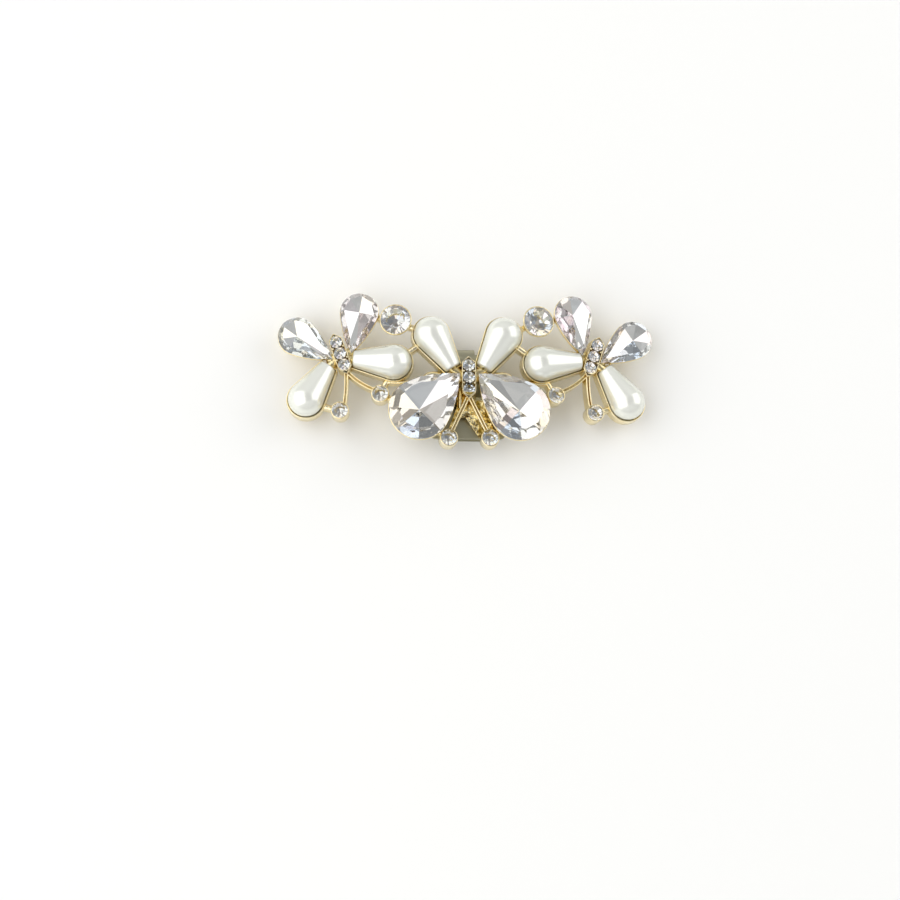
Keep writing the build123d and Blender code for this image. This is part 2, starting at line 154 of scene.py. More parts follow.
# %% [markdown]
# Pale gold plate on cast zinc alloy
#
# The frame is cast, tumbled bright and plated with a flash of champagne gold. A metal's colour is
# its reflection, so the base colour is the plate's own tint at full metallic. Tumbling leaves soft
# dimples about 0.4 mm across, and the plate is a shade deeper and duller in patches. The chips in
# the tumbler hardly reach the walls, which keep more of the casting's skin. A wall is known by its
# normal, which lies nearly level. Between close walls an occlusion node leads the tint towards a
# full yellow: painted shade for light that bounces from gold to gold and deepens each time. The
# tumbler never reached the two webs by the middle antennae, so they keep the rough skin of the mould.

# %% Gold plate
# painted shade: the deep yellow given to recesses between close walls
GOLD_PAINTED_RECESS_SHADE = "#CBAE4A"
RECESS_REACH = 2.0 * MM
OPEN_FROM = 0.6
WALL_LEAN, TOP_LEAN = 0.35, 0.75
GOLD_BRIGHT, GOLD_DULL = 0.14, 0.26
WALL_RELIEF = 0.45
Skin = namedtuple("Skin", "deep pale patch limits relief dimple depth")
TUMBLED = Skin("#F6E2A8", "#FFF7DC", 2.5 * MM, (0.0, 1.0), 0.3, 0.4 * MM, 0.15 * MM)
# painted shade and painted glints: the mould skin's deep brown and near-white patches, switched hard by
# noise
MOULDED_WITH_PAINTED_MOTTLE = Skin("#54400F", "#FFF3C8", 0.9 * MM, (0.4, 0.58), 1.0, 0.9 * MM, 0.6 * MM)


def gold_finish(name, skin):
    """Gold plate, deep and pale in patches, with painted shade in its recesses, over a casting with the
    given skin.
    """
    finish, tree, place = new_finish(name)
    patches = noise(tree, place, 1 / skin.patch, detail=3.0)
    tint = add_node(
        tree, "ShaderNodeMix", {"data_type": "RGBA", MIX_A: linear(skin.deep), MIX_B: linear(skin.pale)},
        {MIX_FACTOR: remap(tree, patches, start=skin.limits)})
    # painted shade: an occlusion node leads the tint towards a deep yellow between close walls
    painted_shade_occlusion = add_node(tree, "ShaderNodeAmbientOcclusion", {"samples": 8, "Distance": RECESS_REACH})
    openness = remap(tree, painted_shade_occlusion.outputs["AO"], start=(0.0, OPEN_FROM))
    plate = add_node(tree, "ShaderNodeMix", {"data_type": "RGBA", MIX_A: linear(GOLD_PAINTED_RECESS_SHADE)}, {
        MIX_FACTOR: openness, MIX_B: tint.outputs[MIX_RESULT]})
    normal = add_node(tree, "ShaderNodeNewGeometry").outputs["Normal"]
    facing = add_node(tree, "ShaderNodeSeparateXYZ", {}, {"Vector": normal}).outputs["Z"]
    topness = remap(tree, facing, start=(WALL_LEAN, TOP_LEAN))
    relief = add_node(tree, "ShaderNodeBump", {"Distance": skin.depth}, {
        "Height": noise(tree, place, 1 / skin.dimple),
        "Strength": remap(tree, topness, end=(WALL_RELIEF, skin.relief))})
    cover(tree, {"Metallic": 1.0}, {
        "Base Color": plate.outputs[MIX_RESULT], "Normal": relief.outputs["Normal"],
        "Roughness": remap(tree, patches, end=(GOLD_BRIGHT, GOLD_DULL))})
    print("finish:", name)
    return finish


gold_plate = gold_finish("champagne_gold_plate_on_tumbled_casting", TUMBLED)
mould_gold_with_painted_mottle = gold_finish("champagne_gold_plate_on_mould_skin", MOULDED_WITH_PAINTED_MOTTLE)

# %% [markdown]
# Nickel plate on spring steel
#
# The spring clip is stamped from strip and barrel plated with nickel. Parts that tumble against each
# other in the barrel come out satin and a little warm, so the plate blurs what it mirrors. Faint
# lines run along the strip from rolling. Lines 0.25 mm apart are drawn coarser than real rolling
# marks, because finer ones would vanish in the picture.

# %% Nickel plate
NICKEL_TINT = "#ABA78F"
NICKEL_BRIGHT, NICKEL_DULL = 0.32, 0.42
ROLLING_LINE = 0.25 * MM
ROLLING_STRETCH = 0.06
ROLLING_RELIEF = 0.08
ROLLING_DEPTH = 0.01 * MM

nickel_plate, tree, place = new_finish("satin_nickel_plate_on_rolled_steel_strip")
stretch = add_node(tree, "ShaderNodeMapping", {"Scale": (1.0, ROLLING_STRETCH, 1.0)}, {"Vector": place})
lines = noise(tree, stretch.outputs["Vector"], 1 / ROLLING_LINE)
relief = add_node(
    tree, "ShaderNodeBump", {"Strength": ROLLING_RELIEF, "Distance": ROLLING_DEPTH}, {"Height": lines})
cover(tree, {"Base Color": linear(NICKEL_TINT), "Metallic": 1.0}, {
    "Roughness": remap(tree, lines, end=(NICKEL_BRIGHT, NICKEL_DULL)), "Normal": relief.outputs["Normal"]})
print("finish:", nickel_plate.name)

# %% [markdown]
# Cut glass with silver foil behind
#
# The clear stones are machine-cut glass, and the facets of their backs are silvered. Light enters
# through the crown, bounces off the foil and leaves through another facet, and that is all the fire
# that such a stone has. So the crown is clear glass with IOR 1.56, and each back facet is a mirror.
# Each back facet gets its own faint blue, rose or amber tint, which comes from the facet's own
# direction: painted fire, standing in for the colours that glass splits out of white light.

# %% Glass and foil
GLASS_IOR = 1.56
GLASS_TINT = "#FCFDFD"
POLISH_PATCH = 1.5 * MM
POLISH_HAZE = 0.02
# painted fire: faint blue, rose and amber tints laid between the silver steps
FOIL_PAINTED_FIRE_BLUE = "#E1E8F1"
FOIL_SILVER = "#EFEFED"
FOIL_PAINTED_FIRE_ROSE = "#F0E8EB"
FOIL_PAINTED_FIRE_AMBER = "#F1ECDD"
FOIL_AND_PAINTED_FIRE_STEPS = (
    (0.36, FOIL_PAINTED_FIRE_BLUE), (0.43, FOIL_SILVER), (0.57, FOIL_SILVER), (0.61, FOIL_PAINTED_FIRE_ROSE), (0.66, FOIL_PAINTED_FIRE_AMBER))
PAINTED_FIRE_CHANGE = 2.3
FOIL_HAZE = 0.02

cut_glass, tree, place = new_finish("machine_cut_clear_glass")
polish = noise(tree, place, 1 / POLISH_PATCH)
cover(tree, {"Base Color": linear(GLASS_TINT), "IOR": GLASS_IOR, "Transmission Weight": 1.0}, {
    "Roughness": remap(tree, polish, end=(0.0, POLISH_HAZE))})

silver_foil, tree, place = new_finish("vacuum_silvered_glass_back")
facing = add_node(tree, "ShaderNodeNewGeometry").outputs["True Normal"]
# painted fire: each facet's direction picks a faint blue, rose or amber tint
painted_fire = noise(tree, facing, PAINTED_FIRE_CHANGE, detail=0.0)
flash = add_node(tree, "ShaderNodeValToRGB", {}, {"Fac": painted_fire})
steps = flash.color_ramp.elements
steps[0].position, steps[1].position = FOIL_AND_PAINTED_FIRE_STEPS[0][0], FOIL_AND_PAINTED_FIRE_STEPS[-1][0]
for position, _ in FOIL_AND_PAINTED_FIRE_STEPS[1:-1]:
    steps.new(position)
for step, (_, colour) in zip(steps, FOIL_AND_PAINTED_FIRE_STEPS):
    step.color = linear(colour)
cover(tree, {"Metallic": 1.0, "Roughness": FOIL_HAZE}, {"Base Color": flash.outputs["Color"]})
print("finish:", cut_glass.name, "with", silver_foil.name)

# %% [markdown]
# Imitation pearl
#
# An ABS drop is dipped in pearl essence and then in clear lacquer. The essence is cream, and a
# green-grey painted shade at grazing angles stands in for the gold cups and shadowed table that the
# edges mirror. The lacquer gives the sharp white streaks of the lamps.
# Dipping leaves a faint orange peel, and dust under the lacquer leaves a few tiny pips.

# %% Pearl lacquer
PEARL_CREAM = "#F2F3EB"
# painted shade: the green-grey that the pearl's edges take at grazing angles
PEARL_PAINTED_EDGE_SHADE = "#DCDFD0"
SHADE_START = 0.4
ESSENCE_METAL = 0.4
ESSENCE_HAZE = 0.22
LACQUER_IOR = 1.5
LACQUER_HAZE = 0.09
ORANGE_PEEL = 0.9 * MM
PEEL_RELIEF = 0.1
PEEL_DEPTH = 0.01 * MM
PIP_SPACING = 2.2 * MM
PIP_SIZE = 0.06
PIP_RELIEF = 0.6
PIP_DEPTH = 0.05 * MM

pearl_lacquer, tree, place = new_finish("pearl_essence_and_lacquer_on_abs")
# painted shade: green-grey at grazing angles, for the mirrored gold cups and shadowed table
painted_shade_share = add_node(tree, "ShaderNodeLayerWeight", {"Blend": SHADE_START}).outputs["Facing"]
essence = add_node(tree, "ShaderNodeMix", {
    "data_type": "RGBA", MIX_A: linear(PEARL_CREAM), MIX_B: linear(PEARL_PAINTED_EDGE_SHADE)}, {MIX_FACTOR: painted_shade_share})
peel = noise(tree, place, 1 / ORANGE_PEEL, detail=1.0)
waves = add_node(
    tree, "ShaderNodeBump", {"Strength": PEEL_RELIEF, "Distance": PEEL_DEPTH}, {"Height": peel})
dust = add_node(tree, "ShaderNodeTexVoronoi", {"Scale": 1 / PIP_SPACING}, {"Vector": place})
pips = remap(tree, dust.outputs["Distance"], start=(0.0, PIP_SIZE), end=(1.0, 0.0))
relief = add_node(tree, "ShaderNodeBump", {"Strength": PIP_RELIEF, "Distance": PIP_DEPTH}, {
    "Height": pips, "Normal": waves.outputs["Normal"]})
cover(
    tree,
    {"Roughness": ESSENCE_HAZE, "Metallic": ESSENCE_METAL, "IOR": LACQUER_IOR,
     "Coat Weight": 1.0, "Coat Roughness": LACQUER_HAZE, "Coat IOR": LACQUER_IOR},
    {"Base Color": essence.outputs[MIX_RESULT], "Normal": relief.outputs["Normal"]})
print("finish:", pearl_lacquer.name)

# %% [markdown]
# Skins from an outline and a profile
#
# Nearly every cast form on this clip is an outline, seen from the front, that climbs a profile: a
# wall, a rounded rim, a floor. So one helper gives each point of a closed line the direction in which
# it grows, with a fan of directions at a corner, and another stacks copies of that line, each grown
# and raised by one step of the profile, into a closed skin. A bevel modifier could round the edges
# too, but the profile keeps each rim's shape in plain numbers.

# %% Outlines and skins
FAN_STEP = radians(14)
EDGE_ANGLE = radians(35)
HAIRPIN = 0.01
WELD = 2e-7
FOOT_BEVEL = 0.05


def arc(centre, radius, start, end, count):
    """Points along an arc, as (x, y)."""
    x, y = centre
    return [(x + radius * cos(a), y + radius * sin(a)) for a in np.linspace(start, end, count)]


def circle(centre, radius, count):
    """Points round a circle, as (x, y)."""
    return arc(centre, radius, 0, 2 * pi, count + 1)[:-1]


def growing(points):
    """Each point of a closed line with its outward direction, as (x, y, angle)."""
    result = []
    for before, point, after in zip(points[-1:] + points[:-1], points, points[1:] + points[:1]):
        first = atan2(before[0] - point[0], point[1] - before[1])
        second = atan2(point[0] - after[0], after[1] - point[1])
        turn = (second - first + pi) % (2 * pi) - pi
        turn = pi if abs(abs(turn) - pi) < HAIRPIN else turn
        steps = ceil(turn / FAN_STEP) if turn > FAN_STEP else 0
        if steps:
            result += [(*point, first + turn * step / steps) for step in range(steps + 1)]
        else:
            result.append((*point, first + turn / 2))
    return result


def rounded(start, end, upright_first, steps=4):
    """A quarter turn of a profile between an upright wall and a level top, as (grow, height)."""
    result = []
    for angle in np.linspace(0, pi / 2, steps + 1):
        rise, run = (sin(angle), 1 - cos(angle)) if upright_first else (1 - cos(angle), sin(angle))
        result.append((start[0] + (end[0] - start[0]) * run, start[1] + (end[1] - start[1]) * rise))
    return result


def bevelled_foot(half):
    """The lowest points of an upright wall's profile, as (grow, height)."""
    return [(half - FOOT_BEVEL, 0.0), (half, FOOT_BEVEL)]


def add_piece(name, vertices, faces, finishes, replaced):
    """A closed mesh that rides on the clip, with its finishes and the solid it stands for."""
    mesh = bpy.data.meshes.new(name)
    mesh.from_pydata([tuple(v) for v in vertices], [], faces)
    builder = bmesh.new()
    builder.from_mesh(mesh)
    bmesh.ops.remove_doubles(builder, verts=builder.verts, dist=WELD)
    bmesh.ops.recalc_face_normals(builder, faces=builder.faces)
    builder.to_mesh(mesh)
    builder.free()
    for finish in finishes:
        mesh.materials.append(finish)
    piece = bpy.data.objects.new(name, mesh)
    bpy.context.scene.collection.objects.link(piece)
    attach(piece, "root")
    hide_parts(replaced)
    return piece


def ring_faces(ring_count, length):
    """Faces between equal rings of points, and one face that closes each end."""
    faces = [list(range(length))[::-1]]
    for level in range(ring_count - 1):
        for index in range(length):
            low, after = level * length + index, level * length + (index + 1) % length
            faces.append([low, after, after + length, low + length])
    faces.append([(ring_count - 1) * length + index for index in range(length)])
    return faces


def cast_form(name, matrix, points, profile, lift=None, shrink=None, finish=gold_plate):
    """A gold form: an outline in millimetres that climbs a profile, placed by a matrix."""
    line = growing(points)
    vertices = []
    for grow, height in profile:
        share = shrink(height) if shrink else 1.0
        for x, y, angle in line:
            px, py = (x + grow * cos(angle)) * share, (y + grow * sin(angle)) * share
            pz = height + (lift(px, py, height) if lift else 0.0)
            vertices.append(matrix @ Vector((px * MM, py * MM, pz * MM)))
    faces = ring_faces(len(profile), len(line))
    piece = add_piece(name, vertices, faces, [finish], "gold_frame")
    piece.data.shade_smooth()
    piece.data.set_sharp_from_angle(angle=EDGE_ANGLE)
    return piece


# %% [markdown]
# Where each stone lies
#
# A stone's solid says all that its cup needs. Its widest flat faces out on a cut stone and back on a
# pearl, which gives the way it looks. The long way of its outline gives its heading, with the narrow
# end on +X. The round end's centre is half a width from its end, and a cup's origin lies there, at
# the girdle of a stone or on the axis of a pearl.

# %% Reading a stone's seat
ROUND_STRETCH = 1.05
ON_BALL = 0.01
Seat = namedtuple("Seat", "matrix length width top bottom")


def seat_of(name):
    """A stone's axes and sizes in millimetres, read from its solid."""
    mesh = nodes[name].data
    flats = {}
    for face in mesh.polygons:
        key = tuple(round(c, 2) for c in face.normal)
        area, normal = flats.get(key, (0.0, face.normal.copy()))
        flats[key] = (area + face.area, normal)
    out = max(flats.values(), key=lambda flat: flat[0])[1]
    out = out if out.z > 0 else -out
    level = (Vector((1, 0, 0)) - out * out.x).normalized()
    axes = Matrix((level, out.cross(level), out))
    points = np.array([axes @ v.co for v in mesh.vertices]) / MM
    centres = np.array([axes @ face.center for face in mesh.polygons])[:, :2] / MM
    weights = np.array([face.area * abs(out.dot(face.normal)) for face in mesh.polygons])
    mean = (centres * weights[:, None]).sum(0) / weights.sum()
    spread = ((centres - mean).T * weights) @ (centres - mean)
    heading = np.linalg.eigh(spread)[1][:, 1]
    along = (points[:, :2] - mean) @ heading
    if along.max() < -along.min():
        heading, along = -heading, -along
    sideways = np.array([-heading[1], heading[0]])
    aside = (points[:, :2] - mean) @ sideways
    length, width = np.ptp(along), np.ptp(aside)
    if length < ROUND_STRETCH * width:
        heading, sideways = np.array([1.0, 0.0]), np.array([0.0, 1.0])
        centre = (points[:, :2].max(0) + points[:, :2].min(0)) / 2
        length = width = 2 * np.hypot(*(points[:, :2] - centre).T).max()
    else:
        centre = mean + heading * (along.min() + width / 2) + sideways * (aside.max() + aside.min()) / 2
    offset = points[:, :2] - centre
    edge = (offset @ heading < 0) & (np.abs(np.hypot(*offset.T) - width / 2) < ON_BALL * width)
    height = (points[edge, 2].max() + points[edge, 2].min()) / 2
    height = points[:, 2].max() - width / 2 if "pearl" in name else height
    world = axes.transposed()
    x_axis = world @ Vector((*heading, 0))
    matrix = Matrix((x_axis, out.cross(x_axis), out)).transposed().to_4x4()
    matrix.translation = world @ Vector((*centre, height)) * MM
    return Seat(matrix, length, width, points[:, 2].max() - height, points[:, 2].min() - height)


seats = {name: seat_of(name) for name in nodes if name not in ("gold_frame", "shoe_clip")}
for name in ("big_pear_right", "outer_pearl_left", "round_stone_left", "body_stone_left_2"):
    seat = seats[name]
    print(name, [round(value, 2) for value in seat[1:]], "at",
          [round(c / MM, 2) for c in seat.matrix.translation])

# %% [markdown]
# Outlines
#
# Stones and cups share their outlines: a circle, a pear of three arcs, and a pearl's shadow with its
# flat end. The pear's flanks are long arcs that touch the round end, as in the solids. A circle
# scaled longer would be simpler, but its tip would be blunt.

# %% Outlines of stones and pearls
PEARL_END_WIDTH = 2.8
PEAR_FLANKS = {"big_pear": 19.0, "inner_pear": 17.0, "outer_pear": 17.0}
FLANK_POINTS = 16
PEAR_BALL_POINTS = 48
PEARL_BALL_POINTS = 56
CIRCLE_POINTS = 64


def pear_outline(length, width, flank):
    """A pear round its round end's centre, with its tip on +X."""
    radius, tip = width / 2, length - width / 2
    lean = acos((2 * flank * radius - radius**2 - tip**2) / (2 * tip * (flank - radius)))
    centre = (-(flank - radius) * cos(lean), -(flank - radius) * sin(lean))
    first = atan2(-centre[1], tip - centre[0])
    upper = arc(centre, flank, first, lean, FLANK_POINTS)
    ball = arc((0, 0), radius, lean, 2 * pi - lean, PEAR_BALL_POINTS)
    lower = [(x, -y) for x, y in upper[::-1]]
    return upper + ball[1:-1] + lower[:-1]


def pearl_outline(length, width):
    """A drop's shadow round its round end's centre, with its flat end on +X."""
    radius, end, half = width / 2, length - width / 2, PEARL_END_WIDTH / 2
    lean = atan2(half, end) + acos(radius / hypot(end, half))
    ball = arc((0, 0), radius, lean, 2 * pi - lean, PEARL_BALL_POINTS)
    return [(end, half)] + ball + [(end, -half)]


def outline_of(name):
    """The outline of a named stone or pearl, in its seat's axes."""
    seat = seats[name]
    kind = name.rsplit("_", 1)[0]
    if kind in PEAR_FLANKS:
        return pear_outline(seat.length, seat.width, PEAR_FLANKS[kind])
    if "pearl" in kind:
        return pearl_outline(seat.length, seat.width)
    return circle((0, 0), seat.width / 2, CIRCLE_POINTS)


outlines = {name: outline_of(name) for name in seats}
print("outlines:", len(outlines))

# %% [markdown]
# Cut stones
#
# A pressed glass blank has the stone's outline and its full height, and a wheel grinds its facets.
# The same is done here: each facet is a plane that takes away all that lies outside it. Mains run
# from table to girdle in front and from culet to girdle behind, and steeper halves take off the
# ridges between them at the girdle. Grinding planes keeps every facet flat and the girdle round,
# which a net of triangles can't do.
#
# The depth of the back decides the look. A pear's back is shallow: light meets the foil once and
# leaves again, so each back facet shows as one large even patch, white or grey. A round brilliant is
# deeper and its light crosses twice, which gives a grey centre in a ring of sparks. A pear is a fifth
# of a millimetre wider than its solid all round, because its edge laps over the thin rim.

# %% Grinding a stone
GIRDLE_HALF = 0.08
ONE, TWO, NONE = (0.5,), (0.25, 0.75), ()
Cut = namedtuple(
    "Cut", "lap table_inset mains halves steeper depth back_mains back_halves back_steeper first")
CUTS = {
    "big_pear": Cut(0.22, 1.6, 10, ONE, radians(8), 1.8, 8, TWO, radians(7), 0.5),
    "inner_pear": Cut(0.22, 0.95, 8, ONE, radians(8), 1.05, 8, ONE, radians(9), 0.5),
    "outer_pear": Cut(0.22, 0.95, 8, ONE, radians(8), 1.05, 8, ONE, radians(9), 0.5),
    "round_stone": Cut(0.08, 0.95, 8, TWO, radians(8), 2.2, 16, NONE, 0.0, 0.0),
    "tip": Cut(0.1, 0.5, 8, ONE, radians(8), 1.2, 12, NONE, 0.0, 0.0),
    "body": Cut(0.02, 0.42, 8, ONE, radians(8), 0.9, 8, NONE, 0.0, 0.0),
}
STAR_FLATTER = 0.55
STAR_INSET = 0.55
STAR_HEIGHT = 0.86
LOOKS_OUT = 0.05
SLIVER = 1e-4


def cut_of(name):
    """The cut of a named stone."""
    kind = name.rsplit("_", 1)[0]
    return CUTS["tip" if "tip" in kind else "body" if "body" in kind else kind]


def grind(builder, normal, distance):
    """Take away all that lies beyond a plane and close the cut."""
    cut = bmesh.ops.bisect_plane(
        builder, geom=builder.verts[:] + builder.edges[:] + builder.faces[:],
        plane_co=Vector(normal) * distance, plane_no=normal, clear_outer=True)
    edges = [item for item in cut["geom_cut"] if isinstance(item, bmesh.types.BMEdge)]
    if len(edges) > 2:
        bmesh.ops.edgeloop_fill(builder, edges=edges)


def facet_planes(line, seat, cut):
    """Every facet's plane as (normal, distance), in the seat's axes in millimetres."""
    def support(azimuth):
        return max(x * cos(azimuth) + y * sin(azimuth) for x, y in line)

    def plane(azimuth, slope, side):
        normal = (sin(slope) * cos(azimuth), sin(slope) * sin(azimuth), side * cos(slope))
        return normal, sin(slope) * support(azimuth) + cos(slope) * GIRDLE_HALF

    crown, pavilion = seat.top - GIRDLE_HALF, cut.depth - GIRDLE_HALF
    crown_slope = atan2(crown, cut.table_inset)
    planes = [((0, 0, 1), seat.top)]
    for index in range(cut.mains):
        step = 2 * pi / cut.mains
        azimuth = (index + cut.first) * step
        planes.append(plane(azimuth, crown_slope, 1))
        for part in cut.halves:
            planes.append(plane(azimuth + part * step, crown_slope + cut.steeper, 1))
        between, slope = azimuth + step / 2, crown_slope * STAR_FLATTER
        normal, _ = plane(between, slope, 1)
        reach = support(between) - cut.table_inset * STAR_INSET
        planes.append((normal, sin(slope) * reach + cos(slope) * seat.top * STAR_HEIGHT))
    for index in range(cut.back_mains):
        step = 2 * pi / cut.back_mains
        azimuth = (index + cut.first) * step
        planes.append(plane(azimuth, atan2(pavilion, support(azimuth)), -1))
        for part in cut.back_halves:
            turned = azimuth + part * step
            planes.append(plane(turned, atan2(pavilion, support(turned)) + cut.back_steeper, -1))
    return planes


def ground_stone(name, seat):
    """A faceted stone: glass in front, silvering behind the girdle."""
    cut = cut_of(name)
    wider = 1 + cut.lap / (seat.width / 2)
    line = [(x * wider, y * wider) for x, y in outlines[name]]
    blank = [(x, y, z) for z in (seat.bottom, seat.top) for x, y in line]
    stone = add_piece(name + "_cut", blank, ring_faces(2, len(line)), [cut_glass, silver_foil],
                      name)
    builder = bmesh.new()
    builder.from_mesh(stone.data)
    for normal, distance in facet_planes(line, seat, cut):
        grind(builder, normal, distance)
    bmesh.ops.dissolve_degenerate(builder, edges=builder.edges, dist=SLIVER)
    bmesh.ops.recalc_face_normals(builder, faces=builder.faces)
    for face in builder.faces:
        face.material_index = int(face.normal.z < LOOKS_OUT)
    bmesh.ops.scale(builder, vec=(MM, MM, MM), verts=builder.verts)
    bmesh.ops.transform(builder, matrix=seat.matrix, verts=builder.verts)
    builder.to_mesh(stone.data)
    builder.free()
    return stone


stones = [ground_stone(name, seat) for name, seat in seats.items() if "pearl" not in name]
facets = [face for face in bpy.data.objects["big_pear_right_cut"].data.polygons
          if abs(face.normal.z) > LOOKS_OUT]
print("stones:", len(stones), "facets on a big pear:", len(facets))

# %% [markdown]
# Pearl drops
#
# A drop is a turned form: a ball at one end, a cone that leaves the ball without a step, a small
# rounded edge and a flat end with its drill hole. It is turned here as rings about its own axis,
# finely enough for smooth reflections, and then cut flat where it is glued into its cup.

# %% Pearls
PEARL_END_ROUND = 0.45
DRILL_RADIUS = 0.34
DRILL_DEPTH = 0.7
DRILL_LIP = 0.1
BALL_RINGS = 28
CORNER_RINGS = 7
PEARL_SEGMENTS = 96
TURN = 2 * pi / PEARL_SEGMENTS


def drop_profile(length, width):
    """Half of a drop's section from its round end to the bottom of its drill hole, as (x, radius)."""
    radius, end, half = width / 2, length - width / 2, PEARL_END_WIDTH / 2
    lean = atan2(half, end) + acos(radius / hypot(end, half))
    tool = PEARL_END_ROUND
    corner_radius = (radius - tool - (end - tool) * cos(lean)) / sin(lean)
    ball = arc((0, 0), radius, pi, lean, BALL_RINGS)
    corner = arc((end - tool, corner_radius), tool, lean, 0, CORNER_RINGS)
    lip = arc((end - DRILL_LIP, DRILL_RADIUS + DRILL_LIP), DRILL_LIP, 0, -pi / 2, 3)
    return ball[1:] + corner + lip + [(end - DRILL_DEPTH, DRILL_RADIUS)]


def pearl_drop(name, seat):
    """A drop turned about its seat's X axis and cut flat at the bottom of its seat."""
    profile = drop_profile(seat.length, seat.width)
    corners = [
        seat.matrix @ Vector((x * MM, r * cos(s * TURN) * MM, r * sin(s * TURN) * MM))
        for x, r in profile for s in range(PEARL_SEGMENTS)
    ]
    pearl = add_piece(
        name + "_turned", corners, ring_faces(len(profile), PEARL_SEGMENTS), [pearl_lacquer],
        name)
    builder = bmesh.new()
    builder.from_mesh(pearl.data)
    out = seat.matrix.to_3x3().col[2]
    cut = bmesh.ops.bisect_plane(
        builder, geom=builder.verts[:] + builder.edges[:] + builder.faces[:],
        plane_co=seat.matrix @ Vector((0, 0, seat.bottom * MM)), plane_no=out, clear_inner=True)
    edges = [item for item in cut["geom_cut"] if isinstance(item, bmesh.types.BMEdge)]
    bmesh.ops.edgeloop_fill(builder, edges=edges)
    bmesh.ops.recalc_face_normals(builder, faces=builder.faces)
    builder.to_mesh(pearl.data)
    builder.free()
    pearl.data.shade_smooth()
    pearl.data.set_sharp_from_angle(angle=EDGE_ANGLE)
    return pearl


pearls = [pearl_drop(name, seat) for name, seat in seats.items() if "pearl" in name]
print("pearls:", len(pearls), "of", len(pearls[0].data.polygons), "faces")

# %% [markdown]
# Cups
#
# Each stone and pearl sits in a cup cast with the frame. The wall turns in at the rim and ends just
# below the stone's edge or the pearl's widest line, so that little of it shows from the front. Under
# a stone with a pointed back the wall leans in towards the foot, which lets the casting leave its
# mould and hides the wall behind the stone. Its back is plain, as a casting's is.

# %% Cups
CUP_OUTSIDE = 0.31
CUP_INSIDE = 0.04
PEARL_CUP_INSIDE = 0.1
CUP_BACK = 0.55
TIP_CUP_BACK = 1.25
CUP_DRAFT = 0.28
FOOT_ROUND = 0.06
RIM_TURN = 0.22
RIM_LEAN = 0.12
LIP_WIDTH = 0.05
LIP_DEPTH = 0.06
UNDER_STONE = 0.05
ROUND_RIM = 0.04
LAPPED_RIM = -0.2
PEARL_RIM = -0.35


def back_of(name):
    """Height of the frame's back in a seat's axes."""
    return seats[name].bottom - (TIP_CUP_BACK if "tip" in name else CUP_BACK)


def cup(name):
    """A cup with a plain back, a rounded rim and a floor under the stone."""
    foot = back_of(name)
    straight = "pearl" in name or "tip" in name
    rim = PEARL_RIM if "pearl" in name else LAPPED_RIM if "pear" in name else ROUND_RIM
    turn_in = rim - RIM_TURN
    inside = PEARL_CUP_INSIDE if "pearl" in name else CUP_INSIDE
    profile = rounded((CUP_OUTSIDE, foot + FOOT_ROUND), (CUP_OUTSIDE - FOOT_ROUND, foot), True, 3)[::-1]
    profile += rounded((CUP_OUTSIDE, turn_in), (CUP_OUTSIDE - RIM_LEAN, rim), True, 5)
    profile += rounded((inside + LIP_WIDTH, rim), (inside, rim - LIP_DEPTH), False, 3)
    profile.append((inside, seats[name].bottom - UNDER_STONE))
    taper = 0.0 if straight else CUP_DRAFT / (seats[name].width / 2)
    return cast_form("cup_" + name, seats[name].matrix, outlines[name], profile,
                     shrink=lambda height: 1 - taper * max(0.0, turn_in - height))


cups = [cup(name) for name in outlines if "body" not in name]
print("cups:", len(cups))

# %% [markdown]
# Three flat layouts
#
# The middle butterfly lies flat and each side one is bent back, so each is laid out in its own plane:
# X level, Z out of the face, and height zero on the frame's back. The middle stone of each body
# gives that plane, because its girdle sits at a known height above the back.

# %% Planes and bodies' places
BODY_GIRDLE = 3.2
planes, body_matrices = {}, {}
for side in ("centre", "left", "right"):
    top, middle_stone, bottom = (seats[f"body_stone_{side}_{i}"].matrix for i in (1, 2, 3))
    out = middle_stone.to_3x3().col[2]
    level = middle_stone.to_3x3().col[0]
    heading = (top.translation - bottom.translation).normalized()
    root = middle_stone.translation - out * BODY_GIRDLE * MM
    for store, x_axis in ((planes, level), (body_matrices, heading)):
        matrix = Matrix((x_axis, out.cross(x_axis), out)).transposed().to_4x4()
        matrix.translation = root
        store[side] = matrix


def in_plane(side, point):
    """A world point in a plane's axes, in millimetres."""
    local = planes[side].inverted() @ point
    return Vector((local.x, local.y)) / MM


def centre_of(name, side):
    """A seat's centre in a plane's axes."""
    return in_plane(side, seats[name].matrix.translation)


def reach_to(name, side, target):
    """The point on a cup's outline towards a target, in a plane's axes."""
    seat = seats[name].matrix
    centre = centre_of(name, side)
    wanted = (target - centre).normalized()
    edge = [in_plane(side, seat @ Vector((x * MM, y * MM, 0))) - centre for x, y in outlines[name]]
    return centre + max(edge, key=lambda p: p.normalized().dot(wanted))


print("bodies at", {side: [round(c / MM, 1) for c in m.translation] for side, m in body_matrices.items()})

# %% [markdown]
# Butterfly bodies
#
# A body is a cast boat: thin bright rails along both sides, a deep channel for three stones, and a
# plain pointed cap at each end. Pairs of tiny prongs, pushed over between the stones, hold them.
# The boat is one skin over its pointed outline, and the caps slope by a lift that grows with length.

